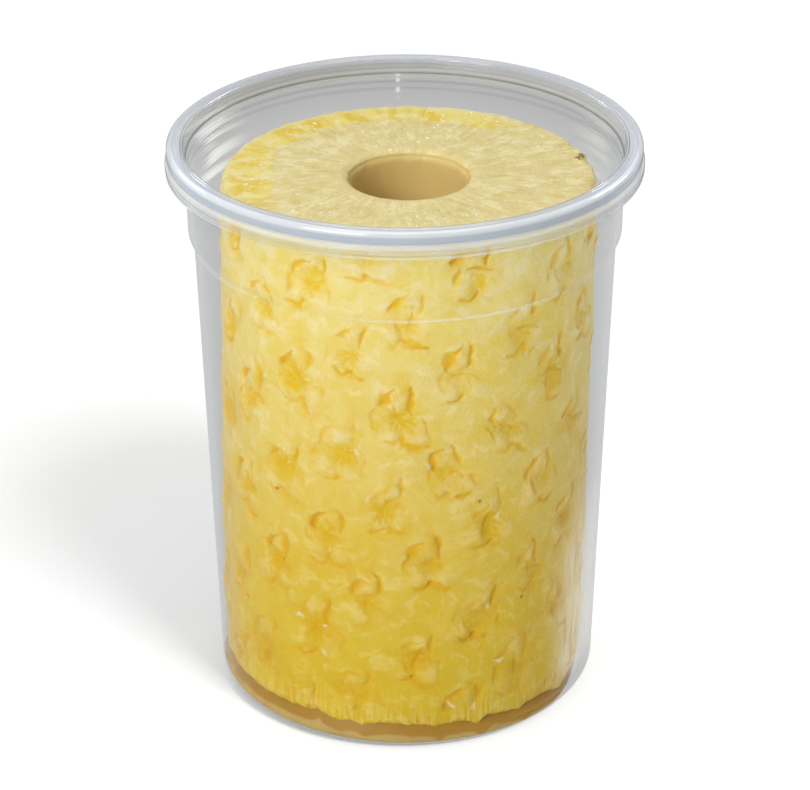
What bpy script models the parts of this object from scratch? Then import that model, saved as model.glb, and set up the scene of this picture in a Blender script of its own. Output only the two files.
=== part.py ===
"""Open clear plastic food cup with one whole peeled and cored pineapple standing in its juice.

Metres, +Z up, front at -Y. The cup stands on z = 0 with its axis on the Z axis.
"""

import math

import bmesh
import bpy

# Cup: a thin pressed wall with a snap-on rim, a wider collar under it and a rounded heel.
CUP_HEIGHT = 0.146
RIM_RADIUS = 0.0585
RIM_TOP_INNER_RADIUS = 0.0545
RIM_BEAD_DEPTH = 0.0031
RIM_ROUNDING = 0.0013
RIM_PLATE = 0.0012
RIM_INNER_CHAMFER = 0.0005
SKIRT_RADIUS = 0.0589
SKIRT_DEPTH = 0.0068
SKIRT_THICKNESS = 0.0008
SKIRT_LEAN = 0.0006
COLLAR_RADIUS = 0.0537
COLLAR_FLARE = 0.0003
COLLAR_TOP = 0.1380
COLLAR_BOTTOM = 0.1232
SHOULDER_BOTTOM = 0.1206
BODY_TOP_RADIUS = 0.0523
BODY_BOTTOM_RADIUS = 0.0481
HEEL_ROUNDING = 0.0050
WALL = 0.00075
FOOT_INNER_RADIUS = 0.0408
FOOT_RECESS = 0.0010
FLOOR_TOP = 0.0018
CUP_SEGMENTS = 60

# Pineapple: a straight cylinder cut from the fruit, cored right through, leaning a little.
FRUIT_RADIUS = 0.0465
FRUIT_FOOT_TAPER = 0.0008
FRUIT_TOP = 0.1365
FRUIT_BOTTOM = 0.0030
FRUIT_EDGE_ROUNDING = 0.0012
FRUIT_FLAT_RADIUS = 0.0400
FRUIT_EDGE_HEIGHT = 0.0058
FRUIT_EDGE_WAVE = 0.0006
FRUIT_SHIFT_BOTTOM = -0.0012
FRUIT_SHIFT_TOP = 0.0010
CORE_RADIUS = 0.0143
CORE_EDGE_ROUNDING = 0.0010
FRUIT_SEGMENTS = 76
FRUIT_RINGS = 30

# Eyes: hollows left where the eyes of the rind were, on one golden spiral round the fruit.
EYE_TURN = math.radians(137.333)
EYE_RISE = 0.0012316
EYE_FIRST_ANGLE = math.radians(0.34)
EYE_FIRST_HEIGHT = -0.0010
EYE_HALF_WIDTH = 0.0060
EYE_HALF_HEIGHT = 0.0075
EYE_DEPTH = 0.0014

# Juice: a shallow pool round the fruit's foot and in the core, one film under the fruit.
JUICE_LEVEL = 0.0042
JUICE_FILM_TOP = 0.0027
POOL_RISE = 0.0043

GAP = 0.0003
FRONT = -math.pi / 2


def clear_scene():
    for obj in list(bpy.data.objects):
        bpy.data.objects.remove(obj, do_unlink=True)


def arc(centre_r, centre_z, radius, start, end, steps):
    """Points of an arc in the (r, z) plane. Angles in degrees, 0 outwards and 90 up."""
    points = []
    for step in range(steps + 1):
        angle = math.radians(start + (end - start) * step / steps)
        points.append((centre_r + radius * math.cos(angle), centre_z + radius * math.sin(angle)))
    return points


def material(name, colour, roughness, alpha=1.0, transmission=0.0):
    """A plain Principled material."""
    mat = bpy.data.materials.new(name)
    mat.use_nodes = True
    shader = mat.node_tree.nodes["Principled BSDF"]
    shader.inputs["Base Color"].default_value = (*colour, 1.0)
    shader.inputs["Roughness"].default_value = roughness
    shader.inputs["Metallic"].default_value = 0.0
    shader.inputs["Alpha"].default_value = alpha
    shader.inputs["Transmission Weight"].default_value = transmission
    mat.diffuse_color = (*colour, alpha)
    return mat


def add_object(name, bm, mat):
    """A smooth-shaded object from a bmesh whose normals are made to face out."""
    bmesh.ops.recalc_face_normals(bm, faces=bm.faces)
    mesh = bpy.data.meshes.new(name)
    bm.to_mesh(mesh)
    bm.free()
    mesh.shade_smooth()
    mesh.set_sharp_from_angle(angle=math.radians(35))
    mesh.materials.append(mat)
    obj = bpy.data.objects.new(name, mesh)
    bpy.context.scene.collection.objects.link(obj)
    return obj


def turned(profile, segments, closed):
    """A bmesh made by spinning an (r, z) profile once round the Z axis."""
    bm = bmesh.new()
    verts = [bm.verts.new((r, 0.0, z)) for r, z in profile]
    edges = [bm.edges.new(pair) for pair in zip(verts, verts[1:])]
    if closed:
        edges.append(bm.edges.new((verts[-1], verts[0])))
    bmesh.ops.spin(
        bm, geom=verts + edges, cent=(0, 0, 0), axis=(0, 0, 1),
        angle=math.tau, steps=segments, use_merge=True,
    )
    bmesh.ops.remove_doubles(bm, verts=bm.verts, dist=1e-6)
    return bm


def cup_inside():
    """Inner contour from the middle of the floor up to the rim's inner edge."""
    heel = HEEL_ROUNDING - WALL
    heel_centre = BODY_BOTTOM_RADIUS - HEEL_ROUNDING
    contour = [(0.0, FLOOR_TOP)]
    contour += arc(heel_centre, FLOOR_TOP + heel, heel, -90, 0, 3)
    contour.append((BODY_TOP_RADIUS - WALL, SHOULDER_BOTTOM))
    contour.append((COLLAR_RADIUS - WALL, COLLAR_BOTTOM))
    contour.append((COLLAR_RADIUS - WALL + COLLAR_FLARE, COLLAR_TOP))
    contour.append((RIM_TOP_INNER_RADIUS - RIM_INNER_CHAMFER, CUP_HEIGHT - 2 * RIM_INNER_CHAMFER))
    contour.append((RIM_TOP_INNER_RADIUS, CUP_HEIGHT))
    return contour


def cup_outside():
    """Outer contour over the rim, down its skirt, under it and down the wall to the foot."""
    bead_bottom = CUP_HEIGHT - RIM_BEAD_DEPTH
    skirt_bottom = CUP_HEIGHT - SKIRT_DEPTH
    skirt_inner = SKIRT_RADIUS - SKIRT_THICKNESS
    contour = arc(RIM_RADIUS - RIM_ROUNDING, CUP_HEIGHT - RIM_ROUNDING, RIM_ROUNDING, 90, 0, 3)
    contour.append((RIM_RADIUS, bead_bottom))
    contour.append((SKIRT_RADIUS, bead_bottom - SKIRT_LEAN))
    contour.append((SKIRT_RADIUS, skirt_bottom))
    contour.append((skirt_inner, skirt_bottom))
    contour.append((skirt_inner - SKIRT_LEAN, CUP_HEIGHT - RIM_PLATE))
    contour.append((RIM_TOP_INNER_RADIUS + WALL, CUP_HEIGHT - RIM_PLATE))
    contour.append((COLLAR_RADIUS + COLLAR_FLARE, COLLAR_TOP))
    contour.append((COLLAR_RADIUS, COLLAR_BOTTOM))
    contour.append((BODY_TOP_RADIUS, SHOULDER_BOTTOM))
    contour += arc(BODY_BOTTOM_RADIUS - HEEL_ROUNDING, HEEL_ROUNDING, HEEL_ROUNDING, 0, -90, 3)
    contour.append((FOOT_INNER_RADIUS, 0.0))
    contour.append((FOOT_INNER_RADIUS - FOOT_RECESS, FOOT_RECESS))
    contour.append((0.0, FOOT_RECESS))
    return contour


def make_cup():
    bm = turned(cup_inside() + cup_outside(), CUP_SEGMENTS, closed=False)
    plastic = material("cup_plastic", (0.86, 0.88, 0.90), 0.12, alpha=0.35, transmission=0.9)
    return add_object("cup", bm, plastic)


def eyes():
    """(angle, height) of every eye. The spiral starts at the front, near the foot."""
    found = []
    count = int((FRUIT_TOP - EYE_FIRST_HEIGHT) / EYE_RISE) + 1
    for number in range(count):
        angle = FRONT + EYE_FIRST_ANGLE + number * EYE_TURN
        found.append((angle, EYE_FIRST_HEIGHT + number * EYE_RISE))
    return found


def eye_hollow(angle, z, centres):
    """How deep the surface lies at this place because of the eyes round it."""
    depth = 0.0
    for eye_angle, eye_z in centres:
        turn = (angle - eye_angle + math.pi) % math.tau - math.pi
        across = turn * FRUIT_RADIUS / EYE_HALF_WIDTH
        along = (z - eye_z) / EYE_HALF_HEIGHT
        distance = across * across + along * along
        if distance < 1.0:
            depth = max(depth, EYE_DEPTH * (1.0 - distance) ** 1.5)
    return depth


def fruit_edge_height(angle):
    """Height of the uneven lower edge of the fruit's side, round the fruit."""
    wave = math.sin(3 * angle + 0.4) + 0.7 * math.sin(7 * angle + 1.9) + 0.3 * math.sin(13 * angle)
    return FRUIT_EDGE_HEIGHT + FRUIT_EDGE_WAVE * wave


def fruit_shift(z):
    """Sideways lean of the fruit's axis."""
    return FRUIT_SHIFT_BOTTOM + (FRUIT_SHIFT_TOP - FRUIT_SHIFT_BOTTOM) * z / FRUIT_TOP


def fruit_profile():
    """Closed (r, z) outline: down the side, in under the foot, up the core, out over the top."""
    side = []
    side_top = FRUIT_TOP - FRUIT_EDGE_ROUNDING
    for ring in range(FRUIT_RINGS + 1):
        share = ring / FRUIT_RINGS
        side.append((FRUIT_RADIUS, side_top + (FRUIT_EDGE_HEIGHT - side_top) * share))
    foot = [(FRUIT_FLAT_RADIUS, FRUIT_BOTTOM), (CORE_RADIUS, FRUIT_BOTTOM)]
    core = [(CORE_RADIUS, FRUIT_TOP - CORE_EDGE_ROUNDING)]
    top = [(CORE_RADIUS + CORE_EDGE_ROUNDING, FRUIT_TOP), (FRUIT_RADIUS - FRUIT_EDGE_ROUNDING, FRUIT_TOP)]
    return side + foot + core + top


def make_pineapple():
    """Spin the outline, then press in the eyes, wave the lower edge and lean the whole."""
    bm = turned(fruit_profile(), FRUIT_SEGMENTS, closed=True)
    centres = eyes()
    side_top = FRUIT_TOP - FRUIT_EDGE_ROUNDING
    for vert in bm.verts:
        radius = math.hypot(vert.co.x, vert.co.y)
        angle = math.atan2(vert.co.y, vert.co.x)
        z = vert.co.z
        if radius > FRUIT_RADIUS - 0.5 * FRUIT_EDGE_ROUNDING:
            lower = (side_top - z) / (side_top - FRUIT_EDGE_HEIGHT)
            z += lower**6 * (fruit_edge_height(angle) - FRUIT_EDGE_HEIGHT)
            radius -= eye_hollow(angle, z, centres) + FRUIT_FOOT_TAPER * math.exp(-z / 0.020)
        vert.co.x = fruit_shift(z) + radius * math.cos(angle)
        vert.co.y = radius * math.sin(angle)
        vert.co.z = z
    return add_object("pineapple", bm, material("pineapple_flesh", (0.80, 0.60, 0.10), 0.45))


def juice_profile():
    """(r, z) outline: over the core pool, the film and the outer pool, then along the cup."""
    heel = HEEL_ROUNDING - WALL - GAP
    heel_centre = BODY_BOTTOM_RADIUS - HEEL_ROUNDING
    pool = CORE_RADIUS + FRUIT_SHIFT_BOTTOM - GAP
    film_edge = FRUIT_FLAT_RADIUS - FRUIT_SHIFT_BOTTOM
    outer_pool = film_edge + POOL_RISE
    heel_angle = -math.degrees(math.asin((FLOOR_TOP + heel + GAP - JUICE_LEVEL) / heel))
    outline = [(0.0, JUICE_LEVEL), (pool, JUICE_LEVEL), (pool, JUICE_FILM_TOP)]
    outline += [(film_edge, JUICE_FILM_TOP), (outer_pool, JUICE_LEVEL)]
    outline += arc(heel_centre, FLOOR_TOP + GAP + heel, heel, heel_angle, -90, 3)
    outline.append((0.0, FLOOR_TOP + GAP))
    return outline


def make_juice():
    bm = turned(juice_profile(), CUP_SEGMENTS, closed=False)
    return add_object("juice", bm, material("juice_liquid", (0.55, 0.38, 0.12), 0.10))


def main():
    clear_scene()
    make_cup()
    make_pineapple()
    make_juice()


main()
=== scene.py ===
"""Looks of an open clear plastic cup that holds one peeled and cored pineapple in its juice.

Metres, +Z up, front at -Y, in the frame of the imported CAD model. The eyes' own shapes are
written in millimetres, x to the right and y up as seen from outside.
"""

import functools
import math

import bpy
import numpy as np
from mathutils import Matrix, Vector


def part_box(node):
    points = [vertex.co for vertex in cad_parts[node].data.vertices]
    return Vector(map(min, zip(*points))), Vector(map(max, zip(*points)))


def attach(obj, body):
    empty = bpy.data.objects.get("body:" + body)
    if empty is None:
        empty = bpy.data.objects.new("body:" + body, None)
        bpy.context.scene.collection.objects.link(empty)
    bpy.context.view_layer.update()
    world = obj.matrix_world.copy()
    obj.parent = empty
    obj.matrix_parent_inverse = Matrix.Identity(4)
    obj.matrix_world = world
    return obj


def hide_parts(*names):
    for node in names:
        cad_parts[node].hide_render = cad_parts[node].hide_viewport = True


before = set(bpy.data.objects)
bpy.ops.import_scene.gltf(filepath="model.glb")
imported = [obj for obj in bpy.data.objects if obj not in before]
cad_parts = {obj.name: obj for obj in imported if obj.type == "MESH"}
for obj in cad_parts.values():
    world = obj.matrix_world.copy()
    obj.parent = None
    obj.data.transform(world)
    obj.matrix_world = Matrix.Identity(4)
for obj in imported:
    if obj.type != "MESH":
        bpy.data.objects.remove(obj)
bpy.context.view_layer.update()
_, CUP_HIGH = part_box("cup")
FRUIT_LOW, FRUIT_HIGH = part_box("pineapple")

MM = 0.001
FRONT = -math.pi / 2

# Cup, as in the CAD model.
CUP_HEIGHT = CUP_HIGH.z
RIM_RADIUS = 0.0585
RIM_TOP_INNER_RADIUS = 0.0545
RIM_BEAD_DEPTH = 0.0031
RIM_ROUNDING = 0.0013
RIM_PLATE = 0.0012
SKIRT_RADIUS = CUP_HIGH.x
SKIRT_DEPTH = 0.0068
SKIRT_THICKNESS = 0.0008
SKIRT_LEAN = 0.0006
COLLAR_RADIUS = 0.0537
COLLAR_FLARE = 0.0003
COLLAR_TOP = 0.1380
COLLAR_BOTTOM = 0.1232
SHOULDER_BOTTOM = 0.1206
BODY_TOP_RADIUS = 0.0523
BODY_BOTTOM_RADIUS = 0.0481
HEEL_ROUNDING = 0.0050
WALL = 0.00075
FOOT_INNER_RADIUS = 0.0408
FOOT_RECESS = 0.0010
FLOOR_TOP = 0.0018
CUP_SEGMENTS = 240
# Steps inside the rim: (height, how far the wall stands inside the rim's edge).
RIM_STEPS = ((0.1382, 0.0012), (0.1401, 0.0009), (0.1424, 0.0004), (0.1437, 0.0002))
STEP_RISE = 0.00025
# How dark the painted shade line at each step is.
STEP_SHADES = (0.12, 0.20, 0.65, 0.20)
# Fine grooves round the top of the rim.
RIM_GROOVES = (0.0553, 0.0561)
GROOVE_WIDTH = 0.00025
GROOVE_DEPTH = 0.00015
BEAD_NECK = 0.0004
SKIRT_HEM = 0.0012
# The material's zones: (none of it yet, all of it), as radii or heights.
RIM_OUTSIDE = (0.0540, 0.0548)
BEAD_ZONE = (0.1422, 0.1432)
SKIRT_ZONE = (0.1385, 0.1395)
# Heights of the painted white glint lines round the skirt.
SKIRT_GLINT_LINES = (0.1407, 0.1396)
# Height less radius where the rim's side, its crown and the blue line begin.
CROWN_SIDE = (0.0866, 0.0860)
CROWN_TOP = (0.0890, 0.0886)
CROWN_LINE = 0.0889
# Directions from the axis, for the painted highlights and the painted sheen on the wet smear.
LEFT_GLINT = (-0.86, 0.51, 0.0)
RIGHT_GLINT = (0.88, 0.47, 0.0)
WET_FILM_SHEEN = (0.95, -0.31, 0.0)
BACK_GLINT_X = -0.0017

# Pineapple, as in the CAD model.
FRUIT_RADIUS = 0.0465
FRUIT_FOOT_TAPER = 0.0008
FRUIT_TOP = FRUIT_HIGH.z
FRUIT_BOTTOM = FRUIT_LOW.z
FRUIT_EDGE_ROUNDING = 0.0012
FRUIT_FLAT_RADIUS = 0.0400
FRUIT_EDGE_HEIGHT = 0.0058
FRUIT_EDGE_WAVE = 0.0006
FOOT_RING_RADII = (0.022, 0.031)
FOOT_CORNER = (0.0430, 0.0026)
FRUIT_SHIFT_BOTTOM = -0.0012
FRUIT_SHIFT_TOP = 0.0010
CORE_RADIUS = 0.0143
CORE_EDGE_ROUNDING = 0.0028
EYE_TURN = math.radians(137.333)
EYE_RISE = 0.0012316
EYE_FIRST_ANGLE = math.radians(0.34)
EYE_FIRST_HEIGHT = -0.0010
DOT_SHARE = 0.8
# The side's colours, each at (the top, the foot): ground, deep, light, gold, amber and brown.
SIDE_TONES = (
    ((249, 232, 152), (225, 190, 28)),
    ((246, 221, 98), (221, 181, 2)),
    ((252, 244, 206), (238, 215, 108)),
    ((244, 206, 36), (222, 174, 0)),
    ((246, 200, 34), (232, 176, 0)),
    ((214, 146, 34), (198, 128, 8)),
)
# An eye's creases in millimetres from its middle: (path, half widths along it, (least, most)
# strength, darkness).
CREASES = (
    (((3.0, 1.9), (3.6, 5.0), (2.9, 8.2)), (0.10, 0.60, 0.75, 0.15), (0.3, 1.1), 0.4),
    (((0.2, 7.4), (-3.4, 5.9), (-4.3, 3.0)), (0.10, 0.40, 1.25, 0.40), (0.3, 1.1), 0.7),
    (((-5.4, 2.4), (-6.5, 0.3), (-5.7, -2.4)), (0.10, 0.45, 0.10), (-0.2, 0.7), 0.0),
    (((-4.9, -5.2), (-2.4, -8.2), (0.2, -5.2)), (0.10, 0.40, 0.35, 0.60), (0.1, 0.8), 0.4),
    (((0.2, -5.2), (2.2, -8.4), (5.2, -6.4)), (0.50, 1.15, 0.45, 0.10), (0.1, 1.0), 0.7),
    (((6.6, -3.6), (6.9, -1.2), (5.6, 0.8)), (0.10, 0.40, 0.10), (-0.4, 0.6), 0.0),
    (((-3.4, 0.6), (-0.2, 2.4), (3.0, -0.8), (5.0, -0.9)), (0.10, 0.50, 0.35, 0.10), (-0.1, 0.7), 0.2),
    (((0.0, 3.6), (0.4, 1.6), (-0.4, -1.5)), (0.10, 0.55, 0.10), (-0.2, 0.7), 0.1),
    (((-3.6, 1.4), (-3.0, -1.4), (-1.2, -3.0)), (0.10, 0.55, 0.10), (-0.3, 0.6), 0.1),
)
# Torn pale flaps stand at these places of some eyes.
FLAP_PLACES = ((-4.5, 3.0), (2.2, -6.2), (3.4, 2.0))
FLAP_CHANCE = 0.18

# Lobes and notches of the side's lower edge: (degrees from the front, rise in mm, width in degrees).
EDGE_FEATURES = (
    (-28.5, 2.0, 1.2),
    (-21.0, -1.2, 1.9),
    (-13.0, -1.2, 1.9),
    (-4.0, 0.5, 2.0),
    (10.0, -1.7, 1.6),
    (23.7, -2.6, 1.7),
    (29.0, 1.0, 2.0),
    (40.4, -1.9, 1.9),
    (62.0, -2.8, 5.0),
)

# Bites out of the top's edge: (degrees anticlockwise from +X, depth in mm, width in degrees).
TOP_NOTCHES = (
    (13.0, 2.4, 1.5),
    (10.0, 1.0, 1.5),
    (24.0, 0.6, 2.5),
    (2.0, 0.7, 2.0),
    (38.0, 0.5, 2.0),
    (178.0, 0.5, 2.5),
    (-12.0, 0.5, 2.0),
)

# A dark thorn left in the top's edge.
THORN = (0.0440, 0.0118, FRUIT_TOP)
# The top's yellow band lies on this side, outside this radius or to the left of this line.
YELLOW_BAND = (-0.64, 0.77, 0.0)
BAND_INNER_RADIUS = 0.0300
BAND_CHORD_X = -0.0318

# The fruit's mesh: whole cells on smooth flesh, split ones where it is rough.
COLUMNS = 240
ROWS = 108
SPLIT = 3
SPLIT_CELLS = 6400
TOP_RINGS = 24
CORE_RINGS = 16

# Juice, as in the CAD model.
JUICE_SEGMENTS = 720
JUICE_SHELL = 0.00015
JUICE_LOW = 0.0034
JUICE_LIP = 0.0010
JUICE_UNDER = JUICE_LOW - JUICE_LIP
JUICE_SETBACK = 0.0009
JUICE_RISE = 0.0022
JUICE_SLOPE = 0.0040
JUICE_STEPS = 18
JUICE_SHADE = 0.0056

SEED = 11


class Graph:
    """Makes a material's or the world's nodes. Sockets or plain values go in, and sockets come out."""

    def __init__(self, owner):
        self.owner = owner
        owner.use_nodes = True
        self.tree = owner.node_tree
        self.tree.nodes.clear()

    def add(self, kind, inputs=None, **settings):
        node = self.tree.nodes.new("ShaderNode" + kind)
        for name, value in settings.items():
            setattr(node, name, value)
        for name, value in (inputs or {}).items():
            if isinstance(value, bpy.types.NodeSocket):
                self.tree.links.new(value, node.inputs[name])
            else:
                node.inputs[name].default_value = value
        return node

    def math(self, operation, first, second=0.0, third=0.0, clamp=False):
        inputs = {0: first, 1: second, 2: third}
        return self.add("Math", inputs, operation=operation, use_clamp=clamp).outputs[0]

    def product(self, *shares):
        return functools.reduce(lambda whole, share: self.math("MULTIPLY", whole, share), shares)

    def greatest(self, *shares):
        return functools.reduce(lambda whole, share: self.math("MAXIMUM", whole, share), shares)

    def scaled(self, value, factor, plus, clamp=False):
        return self.math("MULTIPLY_ADD", value, factor, plus, clamp)

    def vector(self, operation, first, second=(0.0, 0.0, 0.0)):
        """A vector, or for a length, distance or dot product a number."""
        node = self.add("VectorMath", {0: first, 1: second}, operation=operation)
        return node.outputs["Value" if operation in ("LENGTH", "DISTANCE", "DOT_PRODUCT") else 0]

    def polar(self, vector):
        """(length, direction) of a vector."""
        return self.vector("LENGTH", vector), self.vector("NORMALIZE", vector)

    def split(self, vector):
        return self.add("SeparateXYZ", {0: vector}).outputs

    def join(self, x, y, z):
        return self.add("CombineXYZ", {0: x, 1: y, 2: z}).outputs[0]

    def share(self, value, low, high):
        """0 where the value is at low, 1 where it is at high, smooth between."""
        inputs = {"Value": value, "From Min": low, "From Max": high}
        return self.add("MapRange", inputs, interpolation_type="SMOOTHSTEP").outputs["Result"]

    def blend(self, share, first, second):
        """Second colour over first, by share."""
        # Inputs 6 and 7 and output 2 are the colour ones.
        return self.add("Mix", {0: share, 6: first, 7: second}, data_type="RGBA").outputs[2]

    def noise(self, vector, size, detail=2.0, roughness=0.5):
        """Noise whose patches are about this many metres across."""
        inputs = {"Vector": vector, "Scale": 1.0 / size, "Detail": detail, "Roughness": roughness}
        return self.add("TexNoise", inputs).outputs["Fac"]

    def mask(self, name):
        return self.add("Attribute", attribute_name=name).outputs["Fac"]

    def place(self):
        return self.add("TexCoord").outputs["Object"]

    def height(self):
        return self.split(self.place())["Z"]

    def stretch(self, vector, factors):
        """The vector with each of its parts multiplied by its own factor."""
        return self.vector("MULTIPLY", vector, factors)

    def bump(self, height, depth):
        """A normal for a height of 0 to 1 that stands for this many metres."""
        return self.add("Bump", {"Height": height, "Distance": depth}).outputs["Normal"]

    def line(self, value, centre, half_width):
        """1 where the value is at the centre, 0 from the half width on."""
        away = self.math("ABSOLUTE", self.math("SUBTRACT", value, centre))
        return self.share(away, half_width, 0.0)

    def shader(self, kind, inputs, **settings):
        return self.add(kind, inputs, **settings).outputs[0]

    def mix(self, share, first, second):
        """Second shader over first, by share."""
        return self.shader("MixShader", {0: share, 1: first, 2: second})

    def through_plastic(self):
        """1 on what the camera sees through the plastic, 0 elsewhere."""
        path = self.add("LightPath").outputs
        return self.math("MULTIPLY", path["Is Camera Ray"], path["Transparent Depth"], clamp=True)


def new_material(name):
    material = bpy.data.materials.new(name)
    # What glows here is faint, so it isn't sampled as a lamp.
    material.cycles.emission_sampling = "NONE"
    return Graph(material)


def finished(g, shader):
    g.add("OutputMaterial", {"Surface": shader})
    return g.owner


def wet(g, looks, cloud, reach, **settings):
    """A glossy material that light enters a little way: this share of it, this far for each colour."""
    inner = {"Subsurface Weight": cloud, "Subsurface Radius": reach, "Subsurface Scale": 1.0}
    return finished(g, g.shader("BsdfPrincipled", {**looks, **inner}, **settings))


def rgb(red, green, blue):
    """A shader colour from the 0 to 255 values that a screen shows."""
    shares = [value / 255 for value in (red, green, blue)]
    linear = [share / 12.92 if share <= 0.04045 else ((share + 0.055) / 1.055) ** 2.4 for share in shares]
    return (*linear, 1.0)


def flat_place(g, place):
    """(distance from the cup's axis, direction out from it) in the level plane."""
    return g.polar(g.stretch(place, (1.0, 1.0, 0.0)))


def add_object(name, data):
    obj = bpy.data.objects.new(name, data)
    bpy.context.scene.collection.objects.link(obj)
    return obj


def mesh_object(name, points, faces, material):
    """A smooth-shaded mesh in metres."""
    mesh = bpy.data.meshes.new(name)
    mesh.from_pydata([tuple(point) for point in points], [], faces)
    mesh.validate()
    mesh.materials.append(material)
    mesh.shade_smooth()
    return add_object(name, mesh)


def add_mask(obj, name, values):
    """Gives each point of the mesh a number that its material reads."""
    layer = obj.data.attributes.new(name, "FLOAT", "POINT")
    layer.data.foreach_set("value", np.array(values, np.float32))


def arc(centre_r, centre_z, radius, start, end, steps):
    """Points of an arc in the (r, z) plane. Angles in degrees, 0 outwards and 90 up."""
    angles = np.radians(np.linspace(start, end, steps + 1))
    return [(centre_r + radius * math.cos(a), centre_z + radius * math.sin(a)) for a in angles]


def bezier(controls, steps):
    """Points along the Bezier curve that these control points pull."""
    t = np.linspace(0, 1, steps + 1)[:, None]
    levels = [np.tile(np.asarray(point, float), (steps + 1, 1)) for point in controls]
    while len(levels) > 1:
        levels = [low + (high - low) * t for low, high in zip(levels, levels[1:])]
    return levels[0]


def ring_faces(rings, segments):
    """Faces between rings of points that have a lone point before the first and after the last."""
    last = rings * segments + 1
    faces = []
    for here in range(segments):
        after = (here + 1) % segments
        faces.append((0, 1 + after, 1 + here))
        for ring in range(rings - 1):
            low = 1 + ring * segments
            high = low + segments
            faces.append((low + here, low + after, high + after, high + here))
        low = last - segments
        faces.append((low + here, low + after, last))
    return faces


def turned(profile, segments):
    """Points and faces of an (r, z) outline turned round the Z axis. Both its ends are on the axis."""
    angles = np.arange(segments) * math.tau / segments
    points = [(0.0, 0.0, profile[0][1])]
    for r, z in profile[1:-1]:
        points += [(r * math.cos(a), r * math.sin(a), z) for a in angles]
    points.append((0.0, 0.0, profile[-1][1]))
    faces = [face[::-1] for face in ring_faces(len(profile) - 2, segments)]
    return points, faces


# --- Cup ---


def rounded(corners, steps=5):
    """An (r, z) contour with soft corners. Each corner is (r, z, how far from it the bend starts)."""
    contour = [corners[0][:2]]
    for before, here, after in zip(corners, corners[1:], corners[2:]):
        place = Vector(here[:2])
        to_before = (Vector(before[:2]) - place).normalized() * here[2]
        to_after = (Vector(after[:2]) - place).normalized() * here[2]
        bend = bezier((place + to_before, place, place + to_after), steps) if here[2] else [place]
        contour += [tuple(point) for point in bend]
    return [*contour, corners[-1][:2]]


def sharp(points):
    """Contour points that stay as they are."""
    return [(r, z, 0.0) for r, z in points]


def cup_inside():
    """Inner corners from the middle of the floor up to the rim, with the steps under the rim."""
    heel = HEEL_ROUNDING - WALL
    corners = sharp([(0.0, FLOOR_TOP), (0.020, FLOOR_TOP), (0.038, FLOOR_TOP)])
    corners += sharp(arc(BODY_BOTTOM_RADIUS - HEEL_ROUNDING, FLOOR_TOP + heel, heel, -90, 0, 10))
    corners.append((BODY_TOP_RADIUS - WALL, SHOULDER_BOTTOM, 0.0006))
    corners.append((COLLAR_RADIUS - WALL, COLLAR_BOTTOM, 0.0006))
    for height, inset in RIM_STEPS:
        corners.append((corners[-1][0], height, 0.0001))
        corners.append((RIM_TOP_INNER_RADIUS - inset, height + STEP_RISE, 0.0002))
    return [*corners, (RIM_TOP_INNER_RADIUS, CUP_HEIGHT, 0.0006)]


def cup_outside():
    """Outer corners over the grooved rim, down its skirt, under it and down the wall to the foot."""
    bead_bottom = CUP_HEIGHT - RIM_BEAD_DEPTH
    skirt_bottom = CUP_HEIGHT - SKIRT_DEPTH
    skirt_inner = SKIRT_RADIUS - SKIRT_THICKNESS
    corners = []
    for groove in RIM_GROOVES:
        corners.append((groove - GROOVE_WIDTH, CUP_HEIGHT, 0.0001))
        corners.append((groove, CUP_HEIGHT - GROOVE_DEPTH, 0.0001))
        corners.append((groove + GROOVE_WIDTH, CUP_HEIGHT, 0.0001))
    corners += [
        (RIM_RADIUS, CUP_HEIGHT, RIM_ROUNDING),
        (RIM_RADIUS, bead_bottom, 0.0005),
        (RIM_RADIUS - BEAD_NECK, bead_bottom - BEAD_NECK, 0.0003),
        (SKIRT_RADIUS, bead_bottom - 3 * BEAD_NECK, 0.0004),
        (SKIRT_RADIUS, skirt_bottom + SKIRT_HEM, 0.0002),
        (SKIRT_RADIUS - 0.0002, skirt_bottom + 0.6 * SKIRT_HEM, 0.0002),
        (SKIRT_RADIUS, skirt_bottom, 0.00035),
        (skirt_inner, skirt_bottom, 0.00035),
        (skirt_inner - SKIRT_LEAN, CUP_HEIGHT - RIM_PLATE, 0.0006),
        (RIM_TOP_INNER_RADIUS + WALL, CUP_HEIGHT - RIM_PLATE, 0.0004),
        (COLLAR_RADIUS + COLLAR_FLARE, COLLAR_TOP, 0.0008),
        (COLLAR_RADIUS, COLLAR_BOTTOM, 0.0006),
        (BODY_TOP_RADIUS, SHOULDER_BOTTOM, 0.0006),
    ]
    corners += sharp(arc(BODY_BOTTOM_RADIUS - HEEL_ROUNDING, HEEL_ROUNDING, HEEL_ROUNDING, 0, -90, 10))
    foot = (FOOT_INNER_RADIUS, 0.0, 0.0003)
    return [*corners, foot, (foot[0] - FOOT_RECESS, FOOT_RECESS, 0.0003), (0.0, FOOT_RECESS, 0.0)]


def towards(g, ray, direction, least, most):
    """1 on the side that lies this way from the axis, 0 on the others."""
    return g.share(g.vector("DOT_PRODUCT", ray, direction), least, most)


def streaks(g, place, stretch, size, low, high):
    """Uneven streaks, long in the directions that the stretch makes small, from 0 to 1."""
    return g.share(g.noise(g.stretch(place, stretch), size, detail=1.0), low, high)


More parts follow.
